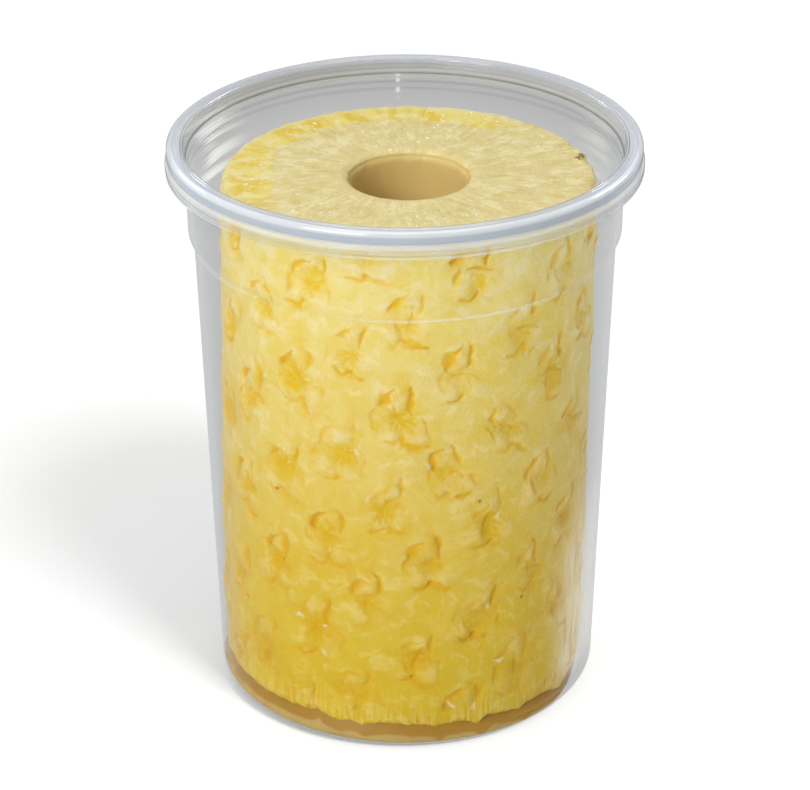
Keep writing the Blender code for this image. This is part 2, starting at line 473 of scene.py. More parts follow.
def painted_collar_glints(g, place, ray, height, sheen):
    """Share of the painted highlights: bright streaks round the inside of the collar, left and right,
    and one upright at the back.
    """
    inside = g.product(g.share(height, 0.1225, 0.1290), g.share(height, 0.1425, 0.1410))
    lines = streaks(g, place, (0.05, 0.05, 1.0), 0.0014, 0.44, 0.60)
    left = g.product(towards(g, ray, LEFT_GLINT, 0.950, 0.995), sheen, 0.95)
    right = g.product(towards(g, ray, RIGHT_GLINT, 0.960, 0.998), sheen, 0.22)
    x, y, _ = g.split(place)
    upright = g.product(
        g.line(x, BACK_GLINT_X, 0.0009),
        g.share(y, 0.030, 0.050),
        g.share(height, 0.1345, 0.1380),
        0.5,
    )
    return g.product(g.greatest(left, right, upright), lines, inside)


def rim_cloud(g, ray, height, radius):
    """(colour, share) of the cloudy rim: a lilac grey plate, a blue line, a crown whose front is painted
    white as a highlight, a blue grey side with a blue line below it, and a skirt that clears downwards."""
    across = g.math("SUBTRACT", height, radius)
    # Painted highlight: the rim is whiter and cloudier in front.
    front = towards(g, ray, (0.0, -1.0, 0.0), -0.25, 0.45)
    side = g.share(across, *CROWN_SIDE)
    crown = g.product(g.share(across, *CROWN_TOP), g.math("SUBTRACT", 1.0, side))
    blue = g.greatest(g.line(across, CROWN_LINE, 0.00022), g.line(height, 0.1431, 0.00028))
    blue = g.product(blue, front)
    cloud = g.blend(side, rgb(182, 185, 193), rgb(184, 194, 206))
    cloud = g.blend(crown, cloud, g.blend(front, rgb(196, 199, 202), rgb(216, 221, 226)))
    cloud = g.blend(blue, cloud, rgb(128, 164, 204))
    outer = g.share(radius, *RIM_OUTSIDE)
    bead = g.product(g.share(height, 0.1424, 0.1430), outer)
    neck = g.product(g.share(height, 0.1408, 0.1418), g.share(height, 0.1432, 0.1428), outer)
    cloud = g.blend(neck, cloud, rgb(228, 227, 222))
    share = g.greatest(
        g.product(blue, bead, 0.75),
        g.product(crown, bead, g.scaled(front, 0.36, 0.34)),
        g.product(bead, g.scaled(front, 0.20, 0.45)),
        g.product(g.scaled(neck, 0.28, g.product(g.share(height, *SKIRT_ZONE), 0.10)), outer),
    )
    return cloud, share


def plastic_material():
    """Clear plastic. Its rim is thick and cloudy, with fine lines round it: painted shade lines round
    its inside and painted white glint lines round its skirt. The skirt has a painted darker edge where it
    is seen at a slant, and painted highlights glow in the plastic.
    """
    g = new_material("cup_plastic")
    place = g.place()
    height = g.height()
    radius, ray = flat_place(g, place)
    facing = g.add("LayerWeight", {"Blend": 0.5}).outputs["Facing"]
    outer = g.share(radius, *RIM_OUTSIDE)
    inner = g.math("SUBTRACT", 1.0, outer)
    bead = g.product(g.share(height, *BEAD_ZONE), outer)
    skirt = g.product(g.share(height, *SKIRT_ZONE), outer)
    # Painted shade: the skirt's edge turns darker where it is seen at a slant.
    edge = g.product(g.share(facing, 0.72, 0.97), skirt)

    # Painted shade: the inside darkens towards the rim, and darker still in a line at each step.
    shade = g.product(g.share(height, 0.1300, 0.1420), inner, 0.10)
    tint = g.blend(shade, rgb(254, 254, 254), rgb(150, 153, 156))
    for (step, _), strength in zip(RIM_STEPS, STEP_SHADES):
        shade = g.product(g.line(height, step, 0.00045), inner, strength)
        tint = g.blend(shade, tint, rgb(120, 123, 126))
    clear = g.shader("BsdfTransparent", {"Color": g.blend(edge, tint, rgb(128, 134, 140))})

    cloud, haze = rim_cloud(g, ray, height, radius)
    cloud = g.blend(edge, cloud, rgb(140, 147, 152))
    slow = g.share(g.noise(place, 0.040, detail=0.0), 0.30, 0.65)
    # Painted highlights: a white line along the shoulder's fold and white glint lines round the skirt.
    fold = g.product(g.line(height, SHOULDER_BOTTOM, 0.0005), slow)
    lines = g.greatest(*(g.line(height, line, 0.00018) for line in SKIRT_GLINT_LINES))
    lines = g.product(lines, slow, outer)
    sheen = g.share(facing, 0.30, 0.64)
    # Painted sheen: a wet smear of juice low on the right, streaked, glowing where the wall is seen at a
    # slant.
    wet_film_sheen = g.product(
        towards(g, ray, WET_FILM_SHEEN, 0.880, 0.985),
        g.share(height, 0.066, 0.034),
        g.share(height, 0.004, 0.014),
        g.scaled(streaks(g, place, (1.0, 1.0, 0.14), 0.0015, 0.42, 0.62), 0.70, 0.30),
        g.share(facing, 0.38, 0.72),
    )
    cloud = g.blend(g.greatest(fold, lines), cloud, rgb(255, 252, 240))
    milk = g.shader("BsdfDiffuse", {"Color": cloud})
    haze = g.scaled(edge, 0.35, g.math("ADD", haze, 0.002))
    haze = g.scaled(fold, 0.30, haze)
    haze = g.scaled(lines, 0.45, haze, clamp=True)
    # Painted highlights and the wet smear's painted sheen glow in the plastic.
    glow = g.shader("Emission", {"Color": g.blend(wet_film_sheen, rgb(246, 246, 242), rgb(236, 229, 214))})
    glints = g.greatest(painted_collar_glints(g, place, ray, height, sheen), g.product(wet_film_sheen, 0.40))
    body = g.mix(glints, g.mix(haze, clear, milk), glow)

    gloss = g.shader("BsdfGlossy", {"Color": rgb(255, 255, 255), "Roughness": 0.10})
    mirror = g.scaled(bead, 0.06, g.scaled(g.math("POWER", facing, 5.0), 0.40, 0.010))
    mirror = g.product(mirror, g.scaled(edge, -0.8, 1.0))
    # Lamps shine through evenly, which keeps the render short.
    shadow = g.add("LightPath").outputs["Is Shadow Ray"]
    even = g.shader("BsdfTransparent", {"Color": rgb(250, 250, 250)})
    return finished(g, g.mix(shadow, g.mix(mirror, body, gloss), even))


def make_cup(material):
    points, faces = turned(rounded(cup_inside() + cup_outside()), CUP_SEGMENTS)
    cup = mesh_object("clear_cup", points, faces, material)
    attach(cup, "root")
    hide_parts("cup")
    return cup


# --- Pineapple ---


def ripples(angle, z, wavelength, seed, count=10):
    """Smooth uneven values of about -1 to 1 that join up round the fruit."""
    rng = np.random.default_rng(seed)
    total = np.zeros(np.broadcast(angle, z).shape)
    waves = math.tau / wavelength
    for _ in range(count):
        heading, phase = rng.uniform(0, math.tau, 2)
        turns = round(FRUIT_RADIUS * waves * math.cos(heading))
        total += np.cos(turns * angle + waves * math.sin(heading) * z + phase)
    return total / math.sqrt(2 * count)


class Crease:
    """One curved fold of an eye. Its left side, seen along its path, is the fleshy one that turns
    golden towards the fold."""

    def __init__(self, controls, widths, depth, dark):
        self.path = bezier(controls, 8)
        self.widths = np.interp(np.linspace(0, 1, 9), np.linspace(0, 1, len(widths)), widths)
        self.depth = depth
        self.dark = dark

    def near(self, x, y, ragged):
        """(share of full depth, share of gold beside it, place along the path) at each point. The
        fold is wider where ragged is above 1."""
        best, soft, along = np.zeros((3, *x.shape))
        steps = len(self.path) - 1
        for step in range(steps):
            start, end = self.path[step], self.path[step + 1]
            run = end - start
            length = math.hypot(*run)
            over_x, over_y = x - start[0], y - start[1]
            t = np.clip((over_x * run[0] + over_y * run[1]) / length**2, 0, 1)
            left = (run[0] * over_y - run[1] * over_x) / length
            across = np.hypot(over_x - t * run[0], over_y - t * run[1])
            width = self.widths[step] + (self.widths[step + 1] - self.widths[step]) * t
            value = np.exp(-((across / width / ragged) ** 4))
            closer = value > best
            best[closer] = value[closer]
            along[closer] = (step + t[closer]) / steps
            reach = np.where(left > 0, 2.2, 0.5)
            soft = np.maximum(soft, np.exp(-across / reach) * min(1.0, 2.5 * self.widths[step]))
        return best, soft, along


class Eye:
    """What the knife left of one eye: three lobes round a golden middle, edged by creases."""

    def __init__(self, number, rng):
        self.number = number
        self.angle = FRONT + EYE_FIRST_ANGLE + number * EYE_TURN + rng.normal(0, 0.012)
        self.z = EYE_FIRST_HEIGHT + number * EYE_RISE + rng.normal(0, 0.0006)
        self.size = rng.uniform(0.88, 1.08)
        self.lean = rng.normal(0, 0.13)
        self.gold = rng.uniform(0.6, 1.3)
        self.relief = rng.uniform(0.7, 1.3)
        self.middle = (rng.normal(0.2, 0.8), rng.normal(-0.3, 0.9))
        self.middle_widths = (rng.uniform(2.8, 5.0), rng.uniform(2.8, 4.8))
        self.creases = [self.crease(rng, *row) for row in CREASES]
        # Each flap's middle, half width, half height and turn.
        self.flaps = []
        for place in FLAP_PLACES:
            if rng.random() < FLAP_CHANCE:
                middle = np.add(place, rng.normal(0, 0.4, 2))
                sizes = (rng.uniform(0.6, 1.0), rng.uniform(0.7, 1.3))
                self.flaps.append((middle, *sizes, rng.normal(0, 0.7)))

    def crease(self, rng, controls, widths, strengths, dark):
        """One crease, moved a little. A strength below zero leaves it out."""
        moved = [np.add(point, rng.normal(0, 0.55, 2)) for point in controls]
        spread = rng.uniform(0.75, 1.25)
        strength = max(0.0, rng.uniform(*strengths))
        return Crease(moved, np.multiply(widths, spread), strength, dark * rng.uniform(0.2, 1.0))

    def local(self, angle, z):
        """Where points lie on this eye, in millimetres."""
        turn = (angle - self.angle + math.pi) % math.tau - math.pi
        x = turn * FRUIT_RADIUS / MM / self.size
        y = (z - self.z) / MM / self.size
        return x + self.lean * y, y

    def reach(self, angle, z):
        x, y = self.local(angle, z)
        return (np.abs(x) < 10) & (np.abs(y) < 12)


def wandered(angle, z):
    """The place on the side, moved a little, so that what is drawn there is uneven."""
    across = 0.0008 * ripples(angle, z, 0.0085, SEED + 6) + 0.00022 * ripples(angle, z, 0.0028, SEED + 7)
    up = 0.0008 * ripples(angle, z, 0.0080, SEED + 8) + 0.00022 * ripples(angle, z, 0.0030, SEED + 9)
    return angle + across / FRUIT_RADIUS, z + up


def bell(x, y, centre, widths):
    """A soft round patch: 1 at its centre."""
    return np.exp(-((x - centre[0]) / widths[0]) ** 2 - ((y - centre[1]) / widths[1]) ** 2)


def eye_fields(eyes, angle, z):
    """What the eyes give each place on the side: depth in metres, colour masks, and where the place
    lies on its own eye."""
    names = "depth gold crease dark pale flap eye_x eye_y eye_number"
    fields = {name: np.zeros(angle.shape) for name in names.split()}
    angle, z = wandered(angle, z)
    ragged = np.clip(1.0 + 0.32 * ripples(angle, z, 0.0026, SEED + 10), 0.4, 1.6)
    for eye in eyes:
        near = eye.reach(angle, z)
        if not near.any():
            continue
        x, y = eye.local(angle[near], z[near])
        rough = ragged[near]
        top = bell(x, y, (-0.2, 5.2), (2.7, 3.0))
        left = bell(x, y, (-3.4, -3.2), (2.7, 2.9))
        right = bell(x, y, (3.4, -3.2), (2.7, 2.8))
        middle = bell(x, y, eye.middle, eye.middle_widths)
        lobes = top + 0.9 * left + 0.8 * right
        depth = eye.relief * (0.55 * middle - 0.60 * lobes)
        gold = eye.gold * middle * rough
        crease, dark, flap = np.zeros((3, *x.shape))
        for fold in eye.creases:
            if fold.depth == 0:
                continue
            value, beside, along = fold.near(x, y, rough)
            depth += fold.depth * (0.52 * value + 0.35 * beside)
            crease = np.maximum(crease, min(1.0, 1.3 * fold.depth) * value)
            gold = np.maximum(gold, min(1.0, 1.2 * fold.depth) * beside)
            dark = np.maximum(dark, 0.8 * fold.dark * fold.depth * value**3 * along**2)
        for centre, half_width, half_height, turn in eye.flaps:
            x_off, y_off = x - centre[0], y - centre[1]
            over = x_off * math.cos(turn) + y_off * math.sin(turn)
            up = y_off * math.cos(turn) - x_off * math.sin(turn)
            taper = np.clip(0.55 - 0.5 * up / half_height, 0.05, 1.2)
            away = np.maximum(np.abs(over) / half_width / taper, np.abs(up) / half_height)
            flap = np.maximum(flap, np.exp(-((away / rough) ** 6)))
        fields["depth"][near] += (depth - 0.12 * flap) * MM
        pale = np.clip(1.1 * lobes - 0.8 * middle, 0, 1)
        found = {"gold": gold, "crease": crease, "dark": dark, "flap": flap, "pale": pale}
        for name, values in found.items():
            fields[name][near] = np.maximum(fields[name][near], values)
        mine = (np.abs(x) / 7.5 + np.abs(y) / 12) < 1
        own = np.flatnonzero(near)[mine]
        for name, values in (("eye_x", x[mine]), ("eye_y", y[mine]), ("eye_number", eye.number)):
            fields[name][own] = values
    return fields


def wrapped(degrees):
    return (degrees + 180) % 360 - 180


def with_features(line, degrees, features, unit):
    """The line plus each feature: (centre in degrees, size in this unit, width in degrees)."""
    for centre, size, width in features:
        line = line + size * unit * np.exp(-((wrapped(degrees - centre) / width) ** 2))
    return line


def fruit_edge_trend(angle):
    """Height of the lower edge of the fruit's side without its lobes and notches."""
    return FRUIT_EDGE_HEIGHT + 3 * FRUIT_EDGE_WAVE * np.cos(angle - FRONT + math.radians(75))


def fruit_edge_height(angle):
    """Height of the uneven lower edge of the fruit's side, with its lobes and notches."""
    height = fruit_edge_trend(angle)
    uneven = ripples(angle, 0.0, 0.009, SEED + 1) + ripples(angle, 0.0, 0.0035, SEED + 2)
    height = height + 0.25 * MM * uneven
    rng = np.random.default_rng(SEED + 20)
    hidden = [(degrees, rng.normal(0, 1.2), rng.uniform(1.3, 3.0)) for degrees in range(72, 292, 9)]
    return with_features(height, wrapped(np.degrees(angle - FRONT)), (*EDGE_FEATURES, *hidden), MM)


def top_edge_bite(angle, z):
    """How far the side stands back close under the top, at the notches of the top's edge."""
    bite = 0.30 * (1 + ripples(angle, 0.0, 0.004, SEED + 12))
    bite = bite + 0.25 * (1 + ripples(angle, 0.0, 0.014, SEED + 13))
    bite = with_features(bite, np.degrees(angle), TOP_NOTCHES, 1.0)
    return bite * MM * np.exp(-(((FRUIT_TOP - z) / 0.0022) ** 2))


def fruit_shift(z):
    """Sideways lean of the fruit's axis."""
    return FRUIT_SHIFT_BOTTOM + (FRUIT_SHIFT_TOP - FRUIT_SHIFT_BOTTOM) * z / FRUIT_TOP


def placed(radius, angle, z):
    """Points in space from radius, angle and height round the fruit's leaning axis."""
    x = fruit_shift(z) + radius * np.cos(angle)
    return np.stack(np.broadcast_arrays(x, radius * np.sin(angle), z), axis=-1)


def side_place(column, row):
    """(angle, height) on the side, for a column and row that count the split cells' points."""
    side_top = FRUIT_TOP - FRUIT_EDGE_ROUNDING
    angle = FRONT + math.pi + column * math.tau / (COLUMNS * SPLIT)
    upper = row / (ROWS * SPLIT)
    z = FRUIT_EDGE_HEIGHT + (side_top - FRUIT_EDGE_HEIGHT) * upper
    z = z + (1 - upper) ** 8 * (fruit_edge_height(angle) - FRUIT_EDGE_HEIGHT)
    return angle, z


def cells_to_split(masks):
    """True for each side cell that is among the roughest ones."""
    rough = 1.5 * masks["crease"] + 2.0 * masks["flap"] + 0.7 * masks["gold"] + 900 * masks["depth"]
    rough = rough.reshape(ROWS * SPLIT + 1, COLUMNS * SPLIT)
    rough = np.concatenate([rough, rough[:, :1]], axis=1)
    low = np.full((ROWS, COLUMNS), np.inf)
    high = -low
    for up in range(SPLIT + 1):
        for over in range(SPLIT + 1):
            part = rough[up : up + ROWS * SPLIT : SPLIT, over : over + COLUMNS * SPLIT : SPLIT]
            low = np.minimum(low, part)
            high = np.maximum(high, part)
    change = high - low
    change[[0, -1]] = 0
    return change > np.sort(change, axis=None)[-SPLIT_CELLS]


def side_faces(split):
    """Faces of the side: small ones in split cells, and whole cells that take a split neighbour's
    points on their edges."""
    width = COLUMNS * SPLIT

    def point(column, row):
        return row * width + column % width

    def is_split(column, row):
        return 0 <= row < ROWS and split[row, column % COLUMNS]

    faces = []
    for row in range(ROWS):
        for column in range(COLUMNS):
            left, low = column * SPLIT, row * SPLIT
            if split[row, column]:
                for up in range(low, low + SPLIT):
                    for over in range(left, left + SPLIT):
                        low_side = (point(over, up), point(over + 1, up))
                        faces.append((*low_side, point(over + 1, up + 1), point(over, up + 1)))
                continue
            ring = []
            for over, up in ((1, 0), (0, 1), (-1, 0), (0, -1)):
                # The neighbour beyond this edge lies to the right of the way along it.
                steps = SPLIT if is_split(column + up, row - over) else 1
                ring += [point(left + step * over, low + step * up) for step in range(steps)]
                left, low = left + SPLIT * over, low + SPLIT * up
            faces.append(tuple(ring))
    return faces


def fruit_rings():
    """(radius, height, mask) of the rings that go over the top, down the core and under the foot."""
    side_top = FRUIT_TOP - FRUIT_EDGE_ROUNDING
    flat_start = FRUIT_RADIUS - FRUIT_EDGE_ROUNDING
    rings = [(*point, "top") for point in arc(flat_start, side_top, FRUIT_EDGE_ROUNDING, 30, 90, 2)]
    flat_end = CORE_RADIUS + CORE_EDGE_ROUNDING
    flat_start -= 0.0020
    for ring in range(TOP_RINGS):
        rings.append((flat_start + (flat_end - flat_start) * ring / TOP_RINGS, FRUIT_TOP, "top"))
    core_top = FRUIT_TOP - CORE_EDGE_ROUNDING
    bend = arc(flat_end, core_top, CORE_EDGE_ROUNDING, 90, 180, 6)
    rings += [(*point, "top") for point in bend[:4]]
    rings += [(*point, "core") for point in bend[4:]]
    for ring in range(1, CORE_RINGS + 1):
        drop = (core_top - FRUIT_BOTTOM) * (ring / CORE_RINGS) ** 1.5
        rings.append((CORE_RADIUS, core_top - drop, "core"))
    rings += [(radius, FRUIT_BOTTOM, "") for radius in (*FOOT_RING_RADII, FRUIT_FLAT_RADIUS)]
    return [*rings, (*FOOT_CORNER, "")]


def fruit_mesh(eyes):
    """(points, faces, masks): the side with its eyes, then the rings that close the body."""
    width = COLUMNS * SPLIT
    lattice = np.arange(width * (ROWS * SPLIT + 1))
    angle, z = side_place(lattice % width, lattice // width)
    masks = eye_fields(eyes, angle, z)
    faces = side_faces(cells_to_split(masks))
    used = np.unique([corner for face in faces for corner in face])
    number = np.full(len(lattice), -1)
    number[used] = np.arange(len(used))
    faces = [tuple(number[corner] for corner in face) for face in faces]
    angle, z = angle[used], z[used]
    masks = {name: values[used] for name, values in masks.items()}
    edge = fruit_edge_height(angle)
    edge_fade = np.clip((FRUIT_TOP - z) / 0.003, 0, 1) * np.clip((z - edge) / 0.004, 0, 1)
    radius = FRUIT_RADIUS - FRUIT_FOOT_TAPER * np.exp(-z / 0.020)
    radius = radius - masks["depth"] * edge_fade
    radius = radius + 0.00025 * ripples(angle, z, 0.020, SEED + 3)
    radius = radius + 0.00008 * ripples(angle, z, 0.004, SEED + 4)
    radius = radius - 0.0005 * np.exp(-(((z - edge) / 0.0006) ** 2))
    points = [placed(radius - top_edge_bite(angle, z), angle, z)]
    masks["comb"] = np.exp(-(z - edge) / 0.0035)
    masks["top"] = np.zeros(len(used))
    masks["core"] = np.zeros(len(used))

    ring_angle = side_place(np.arange(COLUMNS) * SPLIT, 0)[0]
    first = len(used)
    rings = fruit_rings()
    for ring_radius, ring_z, mask in rings:
        uneven = 0.00009 * ripples(ring_angle, ring_radius + 2 * ring_z, 0.012, SEED + 5)
        on_top = ring_z > FRUIT_TOP - 1e-6
        lift = uneven if on_top else 0.0
        inward = top_edge_bite(ring_angle, ring_z) if ring_radius > FRUIT_RADIUS - 0.0025 else 0.0
        outward = -inward if on_top else uneven - inward
        points.append(placed(ring_radius + outward, ring_angle, ring_z + lift))
        for name in masks:
            masks[name] = np.append(masks[name], np.full(COLUMNS, float(name == mask)))
    inner_rows = first + np.arange(len(rings) * COLUMNS).reshape(-1, COLUMNS)
    top_row = number[ROWS * SPLIT * width :: SPLIT]
    loops = np.vstack([top_row, inner_rows, number[:width:SPLIT]])
    for outer, inner in zip(loops, loops[1:]):
        faces += np.stack([outer, np.roll(outer, -1), np.roll(inner, -1), inner], axis=1).tolist()
    return np.concatenate(points), faces, masks


def eye_streaks(g):
    """Fine streaks that run out from the middle of each eye, from 0 to 1."""
    radius, ray = g.polar(g.join(g.mask("eye_x"), g.mask("eye_y"), 0.0))
    x, y, _ = g.split(ray)
    out = g.scaled(radius, 0.12, g.product(g.mask("eye_number"), 7.3))
    return g.noise(g.join(x, y, out), 0.30, detail=3.0, roughness=0.6)


def side_colour(g, place):
    """Pale yellow above, golden below, streaked; deeper gold and amber in the eyes."""
    warp = g.add("TexNoise", {"Vector": place, "Scale": 1 / 0.009, "Detail": 2.0}).outputs["Color"]
    warped = g.vector("ADD", place, g.stretch(warp, (0.010, 0.010, 0.010)))
    streak = g.noise(g.stretch(warped, (1.0, 1.0, 1.3)), 0.0045, detail=5.0, roughness=0.60)
    patch = g.noise(warped, 0.014, detail=3.0)
    lower = g.math("POWER", g.share(g.height(), 0.150, 0.000), 0.75)
    tones = (g.blend(lower, rgb(*high), rgb(*low)) for high, low in SIDE_TONES)
    ground, deep, light, gold, amber, brown = tones
    side = g.blend(g.product(g.share(patch, 0.44, 0.64), 0.60), ground, deep)
    side = g.blend(g.product(g.share(streak, 0.51, 0.66), 0.45), side, light)
    side = g.blend(g.product(g.share(streak, 0.48, 0.34), 0.50), side, deep)
    pale = g.product(g.mask("pale"), g.share(streak, 0.30, 0.60))
    side = g.blend(g.product(pale, 0.85), side, light)
    share = g.product(g.mask("gold"), g.share(eye_streaks(g), 0.34, 0.58))
    share = g.scaled(g.mask("gold"), 0.40, g.product(share, 0.85), clamp=True)
    side = g.blend(share, side, gold)
    side = g.blend(g.product(g.mask("crease"), 0.85), side, amber)
    side = g.blend(g.mask("dark"), side, brown)
    side = g.blend(g.mask("flap"), side, rgb(240, 219, 158))
    dots = g.add("TexVoronoi", {"Vector": place, "Scale": 1 / 0.010}).outputs
    chosen = g.add("SeparateColor", {0: dots["Color"]}).outputs["Red"]
    dot = g.product(g.share(dots["Distance"], 0.070, 0.030), g.share(chosen, 0.70, 0.72))
    return g.blend(g.product(dot, DOT_SHARE), side, rgb(190, 110, 36)), streak


def top_colour(g, place):
    """Cream cut face with faint fibres out from the core, a yellow band round part of its edge, and
    painted white sparkles.
    """
    radius, ray = flat_place(g, place)
    x, y, _ = g.split(ray)
    fibre_place = g.join(x, y, g.product(radius, 9.0))
    fibre = g.noise(fibre_place, 0.050, detail=5.0, roughness=0.65)
    grain = g.noise(place, 0.0050, detail=6.0, roughness=0.72)
    mottle = g.scaled(grain, 0.75, g.product(fibre, 0.25))
    top = g.blend(g.share(fibre, 0.30, 0.72), rgb(216, 197, 126), rgb(227, 210, 144))
    top = g.blend(g.product(g.share(mottle, 0.49, 0.60), 0.75), top, rgb(236, 224, 170))
    top = g.blend(g.product(g.share(mottle, 0.47, 0.37), 0.60), top, rgb(208, 183, 98))
    chord = g.math("SUBTRACT", BAND_CHORD_X, g.split(place)["X"])
    inner = g.scaled(mottle, -0.010, g.math("SUBTRACT", radius, BAND_INNER_RADIUS))
    band = g.greatest(inner, g.scaled(fibre, 0.006, g.math("SUBTRACT", chord, 0.003)))
    band = g.product(g.share(band, 0.0, 0.0016), towards(g, ray, YELLOW_BAND, 0.05, 0.35))
    coarse = g.noise(fibre_place, 0.100, detail=3.0)
    yellow = g.blend(g.share(coarse, 0.36, 0.62), rgb(226, 192, 46), rgb(233, 214, 114))
    pale_edge = g.product(g.share(radius, 0.0415, 0.0450), g.share(mottle, 0.30, 0.55))
    yellow = g.blend(g.product(pale_edge, 0.8), yellow, rgb(228, 219, 164))
    fleck = g.share(g.noise(place, 0.0040, detail=4.0), 0.53, 0.62)
    yellow = g.blend(g.product(fleck, 0.7), yellow, rgb(233, 223, 168))
    top = g.blend(band, top, yellow)
    rim = g.product(g.share(radius, CORE_RADIUS + 0.0050, CORE_RADIUS), 0.35)
    top = g.blend(rim, top, rgb(230, 206, 136))
    spot = g.vector("DISTANCE", place, THORN)
    top = g.blend(g.product(g.share(spot, 0.0012, 0.0006), 0.85), top, rgb(124, 92, 74))
    # Painted highlights: small white wet sparkles.
    painted_sparkle = g.product(
        g.share(g.noise(fibre_place, 0.020, detail=2.0), 0.60, 0.68),
        g.share(g.noise(place, 0.0022, detail=1.0), 0.50, 0.62),
        g.share(g.noise(place, 0.014, detail=1.0), 0.40, 0.60),
    )
    return g.blend(painted_sparkle, top, rgb(255, 253, 240)), mottle


def core_colour(g, place):
    """Smooth tan bore, painted darker and browner further down as shade in the hole."""
    depth = g.share(g.height(), FRUIT_TOP, FRUIT_TOP - 0.045)
    tan = g.blend(depth, rgb(238, 209, 130), rgb(232, 192, 134))
    grain = g.noise(place, 0.0014, detail=2.0)
    return g.blend(g.product(grain, 0.25), tan, rgb(246, 222, 160))


def flesh_material():
    """Wet pineapple: side, cut top and core each have their own colours."""
    g = new_material("pineapple_flesh")
    place = g.place()
    side, streak = side_colour(g, place)
    comb = g.noise(g.stretch(place, (1.0, 1.0, 0.12)), 0.0009)
    comb_share = g.product(g.mask("comb"), g.share(comb, 0.40, 0.62))
    side = g.blend(g.product(comb_share, 0.6), side, rgb(246, 226, 130))
    top, mottle = top_colour(g, place)
    skin = g.blend(g.mask("top"), side, top)
    skin = g.blend(g.mask("core"), skin, core_colour(g, place))
    grain = g.noise(place, 0.0010, detail=3.0)
    relief = g.scaled(g.product(mottle, g.mask("top")), 1.2, grain)
    relief = g.scaled(streak, 0.6, relief)
    relief = g.scaled(g.product(g.mask("comb"), comb), 2.5, relief)
    relief = g.product(relief, g.scaled(g.mask("core"), -0.85, 1.0))
    looks = {"Base Color": skin, "Roughness": g.scaled(grain, 0.25, 0.28), "IOR": 1.40}
    looks["Normal"] = g.bump(relief, 0.00022)
    return wet(g, looks, 0.20, (0.0012, 0.0008, 0.0003), subsurface_method="BURLEY")


def make_pineapple(material):
    rng = np.random.default_rng(SEED)
    count = int((FRUIT_TOP - EYE_FIRST_HEIGHT) / EYE_RISE) + 1
    points, faces, masks = fruit_mesh([Eye(number, rng) for number in range(count)])
    fruit = mesh_object("pineapple_body", points, faces, material)
    del masks["depth"]
    for name, values in masks.items():
        add_mask(fruit, name, values if name.startswith("eye") else np.clip(values, 0, 1))
    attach(fruit, "root")
    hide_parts("pineapple")
    return fruit


# --- Juice ---


def juice_top(angle):
    """Height of the juice: up behind the fruit's edge in front, lower where the wall is further off."""
    from_front = wrapped(np.degrees(angle - FRONT))
    close = np.clip((from_front + 150) / 60, 0, 1) * np.clip((80 - from_front) / 25, 0, 1)
    return JUICE_LOW + (fruit_edge_trend(angle) + JUICE_RISE - JUICE_LOW) * close


def juice_side(angle, height, top):
    """Radius of the juice's side: just in the wall low down, close behind the fruit's edge at its top."""
    shell = HEEL_ROUNDING - JUICE_SHELL
    slope = (BODY_TOP_RADIUS - BODY_BOTTOM_RADIUS) / (SHOULDER_BOTTOM - HEEL_ROUNDING)
    bend = np.minimum(0.0, height - HEEL_ROUNDING)
    wall = BODY_BOTTOM_RADIUS - HEEL_ROUNDING + np.sqrt(shell**2 - bend**2)
    wall = wall + slope * np.maximum(0.0, height - HEEL_ROUNDING)
    fruit = FRUIT_RADIUS - FRUIT_FOOT_TAPER - JUICE_SETBACK + fruit_shift(height) * np.cos(angle)
    pull = np.clip((height - top + JUICE_RISE + JUICE_SLOPE) / JUICE_SLOPE, 0, 1)
    return wall + (np.minimum(wall, fruit) - wall) * pull


def juice_rings(angle):
    """Rings of (radius, height): under the foot, up inside the wall and in behind the fruit."""
    top = juice_top(angle)
    rings = [(r, FOOT_RECESS + JUICE_SHELL) for r in (0.020, FOOT_INNER_RADIUS - FOOT_RECESS)]
    rings.append((FOOT_INNER_RADIUS + JUICE_SHELL, JUICE_SHELL))
    for share in np.linspace(0.0, 1.0, JUICE_STEPS + 1):
        height = 2 * JUICE_SHELL + (top - 2 * JUICE_SHELL) * share**1.5
        rings.append((juice_side(angle, height, top), height))
    above = top + JUICE_LIP
    rings.append((juice_side(angle, above, top) - JUICE_LIP, above))
    return [*rings, (FRUIT_FLAT_RADIUS, JUICE_UNDER)]


def juice_material():
    """Cloudy tan juice, with painted shade that darkens it close under the fruit's edge."""
    g = new_material("juice_liquid")
    cloud = g.share(g.noise(g.place(), 0.006), 0.3, 0.7)
    light = g.blend(cloud, rgb(196, 168, 100), rgb(190, 160, 92))
    dark = g.blend(cloud, rgb(184, 140, 54), rgb(178, 134, 50))
    body = g.blend(g.share(g.mask("shade_under_fruit"), 0.44, 0.56), light, dark)
    looks = {"Base Color": body, "Roughness": 0.45, "IOR": 1.33}
    return wet(g, looks, 0.15, (0.0015, 0.0010, 0.0005))


def make_juice(material):
    """The pool, which stands up to the fruit's lower edge all round the front."""
    angle = np.arange(JUICE_SEGMENTS) * math.tau / JUICE_SEGMENTS
    edge = 0.4 * fruit_edge_trend(angle) + 0.6 * fruit_edge_height(angle)
    points = [(0.0, 0.0, FOOT_RECESS + JUICE_SHELL)]
    under = [0.0]
    for radius, height in juice_rings(angle):
        height = np.broadcast_to(height, angle.shape)
        points += list(zip(radius * np.cos(angle), radius * np.sin(angle), height))
        # Painted shade: the juice darkens close under the fruit's edge.
        under += list(np.clip(1 - (edge - height) / JUICE_SHADE, 0, 1))
    points.append((0.0, 0.0, JUICE_UNDER))
    under.append(0.0)
    rings = (len(points) - 2) // JUICE_SEGMENTS
    juice = mesh_object("juice_pool", points, ring_faces(rings, JUICE_SEGMENTS), material)
    add_mask(juice, "shade_under_fruit", under)
    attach(juice, "root")
    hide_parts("juice")
    return juice


# --- Stage ---


